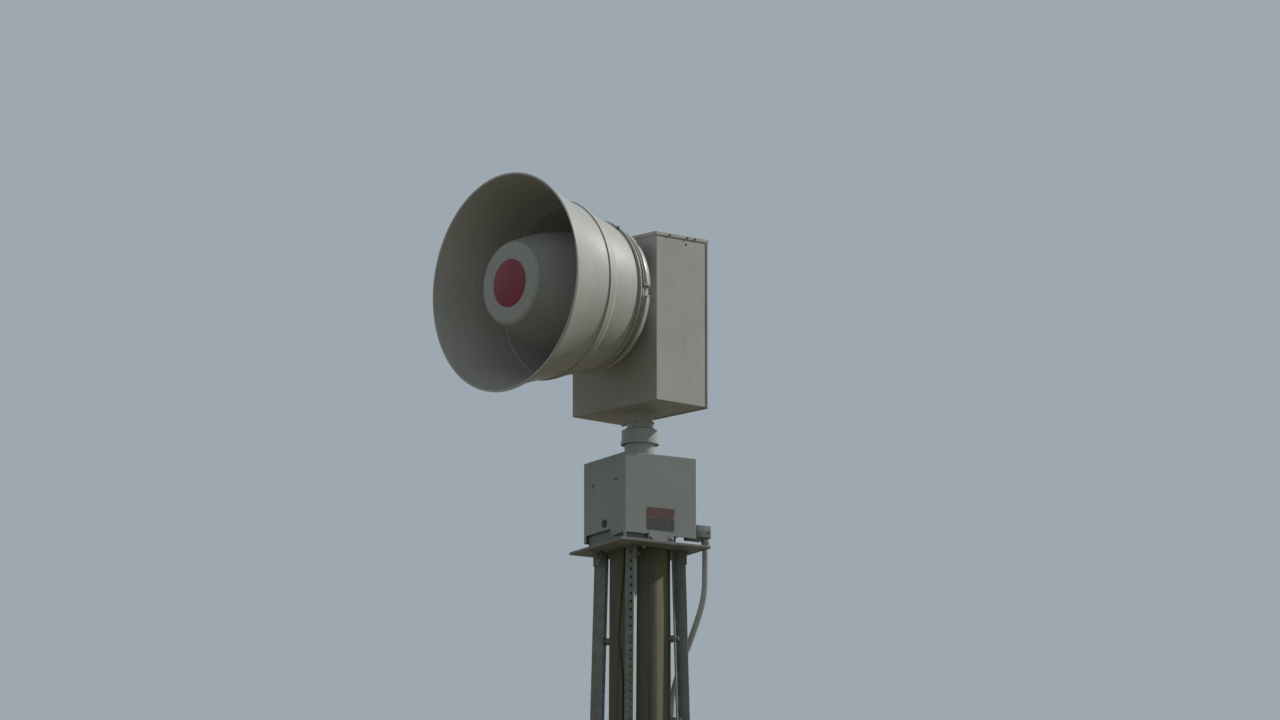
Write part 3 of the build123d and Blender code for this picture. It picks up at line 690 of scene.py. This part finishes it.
bmesh.ops.edgeloop_fill(bm, edges=list(ring_edges))
bmesh.ops.edgeloop_fill(bm, edges=list(first_ring))
flexible = make_piece("flexible_conduit_jacket", bm, still, "flexible_jacket")
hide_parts("flexible_conduit")

# %% [markdown]
# ## The gland under the junction box
# A liquid-tight gland holds the flexible conduit: a hexagon body screwed into the box and a round
# domed nut below it that squeezes the jacket. It is turned, so a half profile spun about the
# conduit's axis makes the nut, and a six-sided stud makes the body.

# %% Spin the gland
gland_low, gland_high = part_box("conduit_fitting")
gland_radius = (gland_high.x - gland_low.x) / 2
gland_tall = gland_high.z - gland_low.z


def turned(bm, profile, centre, axis, segments):
    """Spin a half profile of (radius, height) about an axis through a centre."""
    line = [bm.verts.new((radius, 0, height)) for radius, height in profile]
    edges = [bm.edges.new(pair) for pair in zip(line, line[1:])]
    bmesh.ops.spin(
        bm, geom=line + edges, cent=(0, 0, 0), axis=(0, 0, 1), angle=math.tau,
        steps=segments, use_merge=True, use_duplicate=False,
    )
    fresh = {vert for face in bm.faces for vert in face.verts if not vert.tag}
    fresh |= {vert for vert in line if vert.is_valid}
    bmesh.ops.transform(bm, matrix=stand_on(centre, axis), verts=list(fresh))
    for vert in bm.verts:
        vert.tag = True


bm = bmesh.new()
gland_centre = Vector((*conduit_route[0][:2], gland_low.z))
dome = [
    (conduit_diameter / 2, 0.0),
    (gland_radius * 0.80, 0.0),
    (gland_radius * 0.88, 0.0012),
    (gland_radius * 0.94, gland_tall * 0.18),
    (gland_radius * 0.95, gland_tall * 0.46),
    (gland_radius * 0.90, gland_tall * 0.50),
    (conduit_diameter / 2, gland_tall * 0.50),
]
turned(bm, dome + dome[:1], gland_centre, up, 40)
stud(bm, gland_centre + up * gland_tall * 0.5, up, gland_radius, gland_tall * 0.40, 6, 0.0012)
stud(bm, gland_centre + up * gland_tall * 0.88, up, gland_radius * 0.86, gland_tall * 0.12, 36)
gland = make_piece("conduit_gland", bm, still, "conduit_steel")
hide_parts("conduit_fitting")

# %% [markdown]
# ## The log
# A turned cone is too perfect for a pole that was a tree. The surface of a treated log has long
# fibres, low flats, and checks, the cracks that open along the grain as it dries, which wander a
# little with the twist of the tree. Each is a few millimetres wide and up to 16 deep, so they are
# cut into a fine mesh here, and only the hair-fine ones are left to the material. One side is
# shaved a little flat, so the sun only grazes it and its light ends in a soft line.

# %% Grow a fine cone
pole_foot_radius, _, pole_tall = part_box("pole")[1]
pole_top_radius = 0.105
pole_sides, pole_rings = 540, 150

bm = bmesh.new()
bmesh.ops.create_cone(
    bm, cap_ends=True, segments=pole_sides, radius1=pole_foot_radius, radius2=pole_top_radius,
    depth=pole_tall, matrix=Matrix.Translation((0, 0, pole_tall / 2)),
)
bmesh.ops.delete(bm, geom=[f for f in bm.faces if len(f.verts) > 4], context="FACES_ONLY")
uprights = [e for e in bm.edges if abs(e.verts[0].co.z - e.verts[1].co.z) > pole_tall / 2]
bmesh.ops.subdivide_edges(bm, edges=uprights, cuts=pole_rings, use_grid_fill=True)
print("log faces:", len(bm.faces))

# %% Wood checks and fibres
wood = random.Random(17)
main_check = [
    (206.0, 10.90), (207.0, 11.19), (206.5, 11.354), (195.9, 11.487), (201.5, 11.604),
    (204.6, 11.667), (209.5, 11.751), (210.0, 11.799),
]


def check_line(heading, low, high, twist):
    """A crack's path: a heading in degrees at a few heights, wandering a little."""
    bends = 6
    line = []
    for i in range(bends + 1):
        share = i / bends
        wander = wood.uniform(-2.2, 2.2)
        line.append((heading + twist * share + wander, low + (high - low) * share))
    return line


checks = [(main_check, 0.0040, 0.016)]
for i in range(10):
    low = wood.uniform(-1.0, 10.6)
    high = min(low + wood.uniform(0.9, 4.0), 11.9)
    width = wood.uniform(0.0014, 0.0036)
    line = check_line(wood.uniform(0, 360), low, high, wood.uniform(-6, 8))
    checks.append((line, width, width * 3.2))


def check_at(line, height):
    """Heading of a crack at a height and how open it is there, or None off its ends."""
    if not line[0][1] < height < line[-1][1]:
        return None
    for (near, low), (far, high) in zip(line, line[1:]):
        if low <= height <= high:
            share = (height - low) / (high - low)
            break
    ends = min(height - line[0][1], line[-1][1] - height)
    if line[-1][1] > pole_tall - 0.01:
        ends = height - line[0][1]
    return near + (far - near) * share, min(1.0, ends / 0.35) ** 0.7


facet_heading, facet_half = 287.0, 13.0
ring_crowding = 2.1
flat_depth, fibre_depth, fine_depth = 0.0012, 0.00028, 0.00014
open_at = {}
for vert in bm.verts:
    share = vert.co.z / pole_tall
    height = pole_tall * (1 - (1 - share) ** ring_crowding)
    radius = pole_top_radius + (pole_foot_radius - pole_top_radius) * (1 - height / pole_tall)
    heading = math.atan2(vert.co.y, vert.co.x)
    level = round(height, 5)
    if level not in open_at:
        found = [(check_at(line, height), width, deep) for line, width, deep in checks]
        open_at[level] = [item for item in found if item[0]]
    round_about = pointing(heading)
    flats = noise.noise(round_about * 1.3 + Vector((0, 0, height * 0.35)))
    fibre = noise.noise(Vector((round_about.x * 38, round_about.y * 38, height * 1.6)))
    fine = noise.noise(Vector((round_about.x * 90, round_about.y * 90, height * 4.0)))
    sink = flat_depth * (flats + 1) * 0.5 + fibre_depth * (fibre + 1) + fine_depth * (fine + 1)
    off_facet = abs((math.degrees(heading) - facet_heading + 180) % 360 - 180)
    if off_facet < facet_half:
        flat = math.cos(math.radians(facet_half)) / math.cos(math.radians(off_facet))
        sink += radius * (1 - flat)
    for (line_heading, opened), width, deep in open_at[level]:
        away = math.radians((math.degrees(heading) - line_heading + 180) % 360 - 180) * radius
        reach = width * (0.35 + 0.65 * opened)
        if abs(away) < 2.2 * reach:
            sink += deep * opened * math.exp(-((away / reach) ** 2) * 2.2)
    vert.co = round_about * (radius - sink) + Vector((0, 0, height))
rims = [
    [edge for edge in bm.edges if all(abs(vert.co.z - level) < 1e-6 for vert in edge.verts)]
    for level in (0, pole_tall)
]
for rim in rims:
    bmesh.ops.edgeloop_fill(bm, edges=rim)
log = make_piece("weathered_pole", bm, still, "weathered_wood")
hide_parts("pole")

# %% [markdown]
# ## Marks and plates
# The nose of the horn carries a round red mark, and the face of the rotator a small plate. They
# are left without words or signs: a plain disc and a plain plate in two tones, with its rivets.
# Both are thin sheets, about a millimetre proud at most.

# %% Finish of the mark and of the plate
mark_red = painted("mark_red", (0.33, 0.037, 0.08), 0.42, runs=0.25)


def two_tone(name, upper, lower, split, roughness):
    """Enamel on sheet, one tone above a height and another below it."""
    material, tree, shader = start_finish(name, roughness)
    where = surface(tree)
    height = add_node(tree, "SeparateXYZ", {0: where}).outputs["Z"]
    step = spread(tree, height, split - 0.0004, split + 0.0004)
    worn = spread(tree, grain(tree, where, 0.006, 4), 0.58, 0.72, 0, 0.6)
    base = layer(tree, step, lower, upper)
    base = layer(tree, worn, base, (0.16, 0.16, 0.155, 1))
    dull = spread(tree, grain(tree, where, 0.02, 3), 0.3, 0.7, roughness - 0.06, roughness + 0.1)
    skin = relief(tree, grain(tree, where, 0.002, 2), 0.0001, 0.6)
    wear(tree, shader, base, skin, dull)
    return material


print("marks:", mark_red.name)

# %% Red disc on the nose
nose_low = head_box("cone_nose")[0]
disc_radius, disc_proud = 0.084, 0.0005


def head_place(x, y, z):
    """A place given in the head's own frame, turned into the model's."""
    return head_turn @ Vector((x, y, z))


forward = (head_turn @ Vector((-1, 0, 0))).normalized()
bm = bmesh.new()
nose_spot = head_place(nose_low.x, 0, horn_centre.z)
stud(bm, nose_spot, forward, disc_radius, disc_proud, 96, 0.0002)
make_piece("nose_disc", bm, turning, "cone_shell", mark_red)

# %% Plain plate on the rotator
cover_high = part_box("rotator_cover")[1]
plate_left, plate_right = -0.054, 0.053
plate_foot, plate_head = 11.854, 11.931
plate_proud, plate_split = 0.0012, plate_head - 0.036
upper_tone, lower_tone = (0.19, 0.10, 0.10, 1), (0.11, 0.10, 0.11, 1)
rivet_inset, rivet_radius, rivet_proud = 0.006, 0.0032, 0.0016
outward = Vector((0, -1, 0))


def rounded_plate(bm, centre, size, corner):
    """A thin upright plate that faces along Y, with its four corners rounded."""
    place = Matrix.Translation(centre) @ Matrix.Diagonal((*size, 1))
    bmesh.ops.create_cube(bm, size=1, matrix=place)
    across = [e for e in bm.edges if abs(e.verts[0].co.y - e.verts[1].co.y) > size[1] / 2]
    round_off(bm, across, corner, 4)


bm = bmesh.new()
plate_centre = Vector((plate_left + plate_right, 0, plate_foot + plate_head)) / 2
plate_centre.y = -cover_high.x - plate_proud / 2
plate_size = (plate_right - plate_left, plate_proud, plate_head - plate_foot)
rounded_plate(bm, plate_centre, plate_size, 0.004)
enamel = two_tone("plate_enamel", upper_tone, lower_tone, plate_split, 0.40)
make_piece("rotator_plate", bm, still, "rotator_paint", enamel)

bm = bmesh.new()
for x in (plate_left + rivet_inset, plate_right - rivet_inset):
    spot = Vector((x, -cover_high.x - plate_proud, plate_centre.z))
    stud(bm, spot, outward, rivet_radius, rivet_proud, 18, 0.0012)
make_piece("rotator_plate_rivets", bm, still, "bolt_steel")

# %% [markdown]
# ## Screws and bolts on the rotator
# Two screws hold each end wall of the cover, and one hex bolt at each end of the feet holds the
# tabs. They are made as one piece for each group, because they share a finish and a body.

# %% Cover screws and foot bolts
screw_height, screw_offset, screw_radius = 12.030, 0.077, 0.0058
bm = bmesh.new()
for side in (-1, 1):
    for y in (-screw_offset, screw_offset):
        spot = Vector((side * cover_high.x, y, screw_height))
        sheet_screw(bm, spot, Vector((side, 0, 0)), screw_radius)
make_piece("cover_screws", bm, still, "bolt_steel")

base_low, base_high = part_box("rotator_base")
foot_bolt_x, foot_bolt_across = 0.039, 0.011
foot_bolt_height = base_low.z + 0.012
bm = bmesh.new()
for side in (-1, 1):
    for x in (-foot_bolt_x, foot_bolt_x):
        spot = Vector((x, side * base_high.y, foot_bolt_height))
        hex_bolt(bm, spot, Vector((0, side, 0)), foot_bolt_across)
make_piece("foot_bolts", bm, still, "bolt_steel")

# %% [markdown]
# ## The strip behind the notches
# The cover is notched along its bottom edge, and at the near corner a dim, shaded surface shows
# through the notches. An angled strip that stands on the plate just inside the cover stands for
# it, painted dark grey as painted shade. It is one bent line, extruded upwards and given its
# thickness.

# %% Raise the strip
deck_low, deck_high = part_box("mounting_plate")
strip_set_back, strip_thick, strip_tall = 0.012, 0.0015, 0.060
strip_side_end, strip_front_end = 0.125, -0.054
strip_at = -cover_high.x + strip_set_back
strip_bends = ((strip_at, strip_side_end), (strip_at, strip_at), (strip_front_end, strip_at))
bm = bmesh.new()
foot_line = [bm.verts.new((x, y, deck_high.z)) for x, y in strip_bends]
foot_edges = [bm.edges.new(pair) for pair in zip(foot_line, foot_line[1:])]
raised = bmesh.ops.extrude_edge_only(bm, edges=foot_edges)["geom"]
raised_verts = [item for item in raised if isinstance(item, bmesh.types.BMVert)]
bmesh.ops.translate(bm, verts=raised_verts, vec=(0, 0, strip_tall))
bmesh.ops.solidify(bm, geom=bm.faces[:], thickness=strip_thick)
# the strip wears the darker grey as painted shade
make_piece("notch_strip", bm, still, "rotator_paint", box_paint_and_notch_shade)

# %% [markdown]
# ## Bolts of the clips
# Each clip is a small steel angle between the plate and a leg. One bolt goes down through plate
# and clip, with its nut below, and one goes sideways through clip and leg. The same places are
# used at all four legs, turned by a quarter each time.

# %% Clip bolts
leg_headings = [math.radians(45 + 90 * i) for i in range(4)]
clip_bolt_across, clip_bolt_radius, clip_bolt_proud = 0.013, 0.004, 0.003
shelf_spot, shelf_thick = (0.142, 0.051), 0.005  # outwards from the axis, then sideways
leaf_spot, leaf_drop = 0.137, 0.030
leaf_outer, leaf_inner = 0.025, 0.015


def leg_place(heading, out, side, z):
    """A place beside a leg, from how far out and how far sideways it is."""
    outwards = pointing(heading)
    return outwards * out + up.cross(outwards) * side + Vector((0, 0, z))


bm = bmesh.new()
for heading in leg_headings:
    aside = up.cross(pointing(heading))
    above = leg_place(heading, *shelf_spot, deck_high.z)
    below = leg_place(heading, *shelf_spot, deck_low.z - shelf_thick)
    hex_bolt(bm, above, up, clip_bolt_across)
    nut_end(bm, below, -up, clip_bolt_across, clip_bolt_radius, clip_bolt_proud)
    beside = leg_place(heading, leaf_spot, leaf_outer, deck_low.z - leaf_drop)
    behind = leg_place(heading, leaf_spot, leaf_inner, deck_low.z - leaf_drop)
    hex_bolt(bm, beside, aside, clip_bolt_across)
    nut_end(bm, behind, -aside, clip_bolt_across, clip_bolt_radius, clip_bolt_proud)
make_piece("clip_bolts", bm, still, "bolt_steel")

# %% [markdown]
# ## The junction box's lid and the straps' screws
# A small cast conduit box has a lid on its open side, held by two screws. The straps on the pole
# have one lag screw through each ear.

# %% Lid and its screws
case_low, case_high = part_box("junction_box")
lid_proud, lid_inset = 0.0022, 0.0025
bm = bmesh.new()
case_size = case_high - case_low
lid_size = (case_size.x - 2 * lid_inset, lid_proud, case_size.z - 2 * lid_inset)
lid_centre = (case_low + case_high) / 2
lid_centre.y = case_low.y - lid_proud / 2
rounded_plate(bm, lid_centre, lid_size, 0.004)
front = case_low.y - lid_proud * 0.9
front_edges = [e for e in bm.edges if all(v.co.y < front for v in e.verts)]
round_off(bm, front_edges, 0.0007, 2)
make_piece("junction_box_lid", bm, still, "rotator_paint", box_paint_and_notch_shade)

lid_screw_inset = 0.008
bm = bmesh.new()
for x in (case_low.x + lid_screw_inset, case_high.x - lid_screw_inset):
    spot = Vector((x, case_low.y - lid_proud, lid_centre.z))
    stud(bm, spot, outward, 0.0040, 0.0022, 20, 0.0012)
make_piece("junction_box_screws", bm, still, "bolt_steel")

# %% Strap screws
strap_count, strap_thick, ear_middle = 7, 0.0025, 0.0248
away_from_pole = Vector((1, 0, 0))
bm = bmesh.new()
for i in range(strap_count):
    z = (i + 0.5) * pipe_low.z / strap_count
    surface_x = pole_foot_radius + (pole_top_radius - pole_foot_radius) * z / pole_tall
    for y in (-ear_middle, ear_middle):
        shank_foot = Vector((surface_x - 0.012, y, z))
        stud(bm, shank_foot, away_from_pole, 0.0032, 0.013, 16, 0.0004)
        hex_bolt(bm, Vector((surface_x + strap_thick, y, z)), away_from_pole, 0.011)
make_piece("strap_screws", bm, still, "bolt_steel")

# %% [markdown]
# ## Fasteners on the head
# The top cover's lip has three screws each side and the back cover a row down each edge.
# Everything here is placed in the head's own frame and turned with it, so the same numbers
# serve for both sides.

# %% Screws of the box
top_high = head_box("housing_top_cover")[1]
back_low, back_high = head_box("housing_back_cover")
lip_screw_height = top_high.z - 0.0065
lip_screw_places, lip_screw_radius = (-0.058, 0.022, 0.057), 0.0045
back_screw_shares, back_screw_inset = (0.06, 0.35, 0.65, 0.94), 0.014
bm = bmesh.new()
for side in (-1, 1):
    facing = head_turn @ Vector((0, side, 0))
    for x in lip_screw_places:
        spot = head_place(x, side * top_high.y, lip_screw_height)
        sheet_screw(bm, spot, facing, lip_screw_radius)
backward = (head_turn @ Vector((1, 0, 0))).normalized()
for side in (-1, 1):
    for share in back_screw_shares:
        z = back_low.z + (back_high.z - back_low.z) * share
        spot = head_place(back_high.x, side * (back_high.y - back_screw_inset), z)
        sheet_screw(bm, spot, backward, screw_radius)
make_piece("box_screws", bm, turning, "bolt_steel")

plug_x, plug_height = 0.018, 12.848
side_wall = head_box("housing_body")[1].y
bm = bmesh.new()
plug_spot = head_place(plug_x, -side_wall, plug_height)
stud(bm, plug_spot, head_turn @ Vector((0, -1, 0)), 0.004, 0.0012, 24, 0.0006)
make_piece("box_plug", bm, turning, "plug_plastic")

# %% [markdown]
# ## Bolts of the horn
# The two clamp halves are drawn together by a bolt across each gap, their rolled edges end in
# rounded beads, and a stud with a nut stands on the rim ring each side of the top. The throat's
# flange is bolted to the box by a ring of small bolts. A helper gives a place from how far behind
# the mouth, at what angle from straight up, and how far from the horn's axis it is.

# %% Places round the horn
def round_horn(behind, angle, radius):
    """A place on the horn, with positive angles on the side that faces the camera."""
    turn = math.radians(angle)
    return head_place(
        horn_centre.x + behind, -radius * math.sin(turn), horn_centre.z + radius * math.cos(turn)
    )


def out_from_horn(angle):
    """The direction straight away from the horn's axis at an angle."""
    turn = math.radians(angle)
    return head_turn @ Vector((0, -math.sin(turn), math.cos(turn)))


print("at the mouth's top:", [round(c, 3) for c in round_horn(0, 0, mouth_high.y)])

# %% Clamp bolts, rim studs and throat bolts
gap_top, gap_foot, gap_margin = 88.5, 96.5, 0.7
clamp_bolt_behind, clamp_bolt_out = 0.418, 0.2520
clamp_bolt_radius, clamp_bolt_across = 0.0025, 0.008
bm = bmesh.new()
for side in (-1, 1):
    upper = round_horn(clamp_bolt_behind, side * (gap_top - gap_margin), clamp_bolt_out)
    lower = round_horn(clamp_bolt_behind, side * (gap_foot + gap_margin), clamp_bolt_out)
    way = (lower - upper).normalized()
    stud(bm, upper, way, clamp_bolt_radius, (lower - upper).length, 20, 0.0003)
    hex_bolt(bm, upper, -way, clamp_bolt_across, washer=False)
    nut_end(bm, lower, way, clamp_bolt_across, clamp_bolt_radius, 0.003)
make_piece("clamp_bolts", bm, turning, "bolt_steel", finish["cast_housing"])

bead_behind, bead_centre, bead_round = 0.444, 0.2421, 0.006
bm = bmesh.new()
for side in (-1, 1):
    for angle in (gap_top, gap_foot):
        spot = round_horn(bead_behind, side * angle, bead_centre)
        bmesh.ops.create_uvsphere(
            bm, u_segments=24, v_segments=14, radius=bead_round, matrix=Matrix.Translation(spot)
        )
make_piece("clamp_bead_ends", bm, turning, "horn_shell")

rim_stud_behind, rim_stud_angle = 0.388, 33.6
rim_stud_out, rim_nut_out = 0.2545, 0.264
bm = bmesh.new()
for side in (-1, 1):
    angle = side * rim_stud_angle
    out = out_from_horn(angle)
    stud(bm, round_horn(rim_stud_behind, angle, rim_stud_out), out, 0.0042, 0.0095, 28, 0.0008)
    hex_bolt(bm, round_horn(rim_stud_behind, angle, rim_nut_out), out, 0.009, 0.005)
make_piece("rim_studs", bm, turning, "bolt_steel")

throat_high = head_box("throat_housing")[1]
throat_flange_thick, throat_bolt_out = 0.006, 0.1862
flange_at = throat_high.x - throat_flange_thick - horn_centre.x
bm = bmesh.new()
for angle in range(15, 360, 30):
    hex_bolt(bm, round_horn(flange_at, angle, throat_bolt_out), forward, 0.008, washer=False)
make_piece("throat_bolts", bm, turning, "bolt_steel")

# %% [markdown]
# ## Bands over the clamp halves
# Each clamp half wears a crowned band along its rear edge. It is painted paler than the horn,
# as painted light, and is glossy, so the sun draws one long highlight on it. A flat grid is
# wrapped round the horn: its length becomes the arc, its width the slant from front to back. The
# ends narrow to a half round, and the front edge turns down to the clamp.

# %% Wrap a band round each half
band_front, band_back = Vector((0.4245, 0.2530)), Vector((0.4495, 0.2434))
band_crown, band_thick, band_lip, band_end_arc = 0.0022, 0.0015, 0.0058, 3.5
band_middle, band_half = (band_front + band_back) / 2, (band_back - band_front) / 2
band_out = Vector((-band_half.y, band_half.x)).normalized()


def clamp_band(bm, start, arc):
    """A crowned band round the horn with rounded ends, from an angle on through an arc."""
    for vert in bmesh.ops.create_grid(bm, x_segments=160, y_segments=10, size=1)["verts"]:
        along, across = vert.co.x, vert.co.y
        from_end = min(1.0, (1 - abs(along)) * arc / 2 / band_end_arc)
        narrow = math.sqrt(1 - (1 - from_end) ** 2)
        place = band_middle + band_half * across * narrow
        place += band_out * band_crown * (1 - across**2) * narrow
        if across < -0.99:
            place.y -= band_lip * narrow
        vert.co = round_horn(place.x, start + arc * (along + 1) / 2, place.y)


bm = bmesh.new()
clamp_band(bm, -gap_top, 2 * gap_top)
clamp_band(bm, gap_foot, 360 - 2 * gap_foot)
bmesh.ops.solidify(bm, geom=bm.faces[:], thickness=band_thick)
# the band's paler paint is painted light
make_piece("clamp_bands", bm, turning, "horn_shell", band_painted_light)

# %% [markdown]
# ## A seal round the bearing tube
# Where the tube comes out of the cover's top, a bead of sealant keeps the rain out. It is a
# spun ring with a slumped section.

# %% Spin the seal
tube_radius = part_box("bearing_tube")[1].x
bm = bmesh.new()
bead = [
    (tube_radius, 0.0), (tube_radius + 0.0075, 0.0), (tube_radius + 0.0068, 0.0014),
    (tube_radius + 0.0040, 0.0034), (tube_radius + 0.0012, 0.0052), (tube_radius, 0.0056),
]
turned(bm, bead + bead[:1], Vector((0, 0, cover_high.z)), up, 96)
make_piece("tube_seal", bm, still, "plug_plastic")

# %% [markdown]
# ## The floor
# The pole stands on a plain pale disc. It is far below the camera's view, and is kept small so
# that it doesn't light the head from below more than open ground would.

# %% Lay the floor
floor_radius = 4.0
floor_finish, _, floor_shader = start_finish("pale_floor", 0.85)
floor_shader.inputs["Base Color"].default_value = (0.62, 0.62, 0.60, 1)
bm = bmesh.new()
bmesh.ops.create_circle(bm, cap_ends=True, segments=96, radius=floor_radius)
floor_mesh = bpy.data.meshes.new("floor")
bm.to_mesh(floor_mesh)
bm.free()
floor_mesh.materials.append(floor_finish)
floor = into_scene("floor", floor_mesh)
print("floor radius:", floor_radius)
